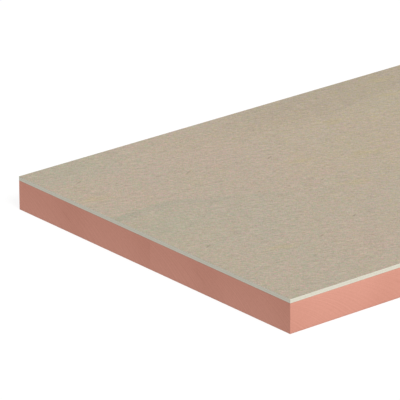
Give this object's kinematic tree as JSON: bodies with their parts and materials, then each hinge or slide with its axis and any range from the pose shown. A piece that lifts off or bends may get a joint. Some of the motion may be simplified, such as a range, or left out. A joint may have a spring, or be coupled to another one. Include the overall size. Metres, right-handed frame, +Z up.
{
  "type": "insulated drywall sheet",
  "caption": "Flat rectangular wall-lining sheet: a thick slab of salmon-pink rigid foam with a thin, square-edged gypsum plasterboard bonded over it, paper face up.",
  "frame": {"origin": "middle of the foam slab's underside, where the sheet lies on the floor", "axes": "+Y along the length, +X across the width, +Z up through the thickness to the paper face"},
  "size_m": [1.2, 2.4, 0.1025],
  "materials": {
    "rigid_foam": "matte",
    "liner_paper": "matte",
    "gypsum": "matte",
    "face_paper": "matte"
  },
  "bodies": {
    "root": {"foam_slab": "rigid_foam", "back_paper": "liner_paper", "gypsum_core": "gypsum", "face_paper": "face_paper"}
  },
  "joints": []
}
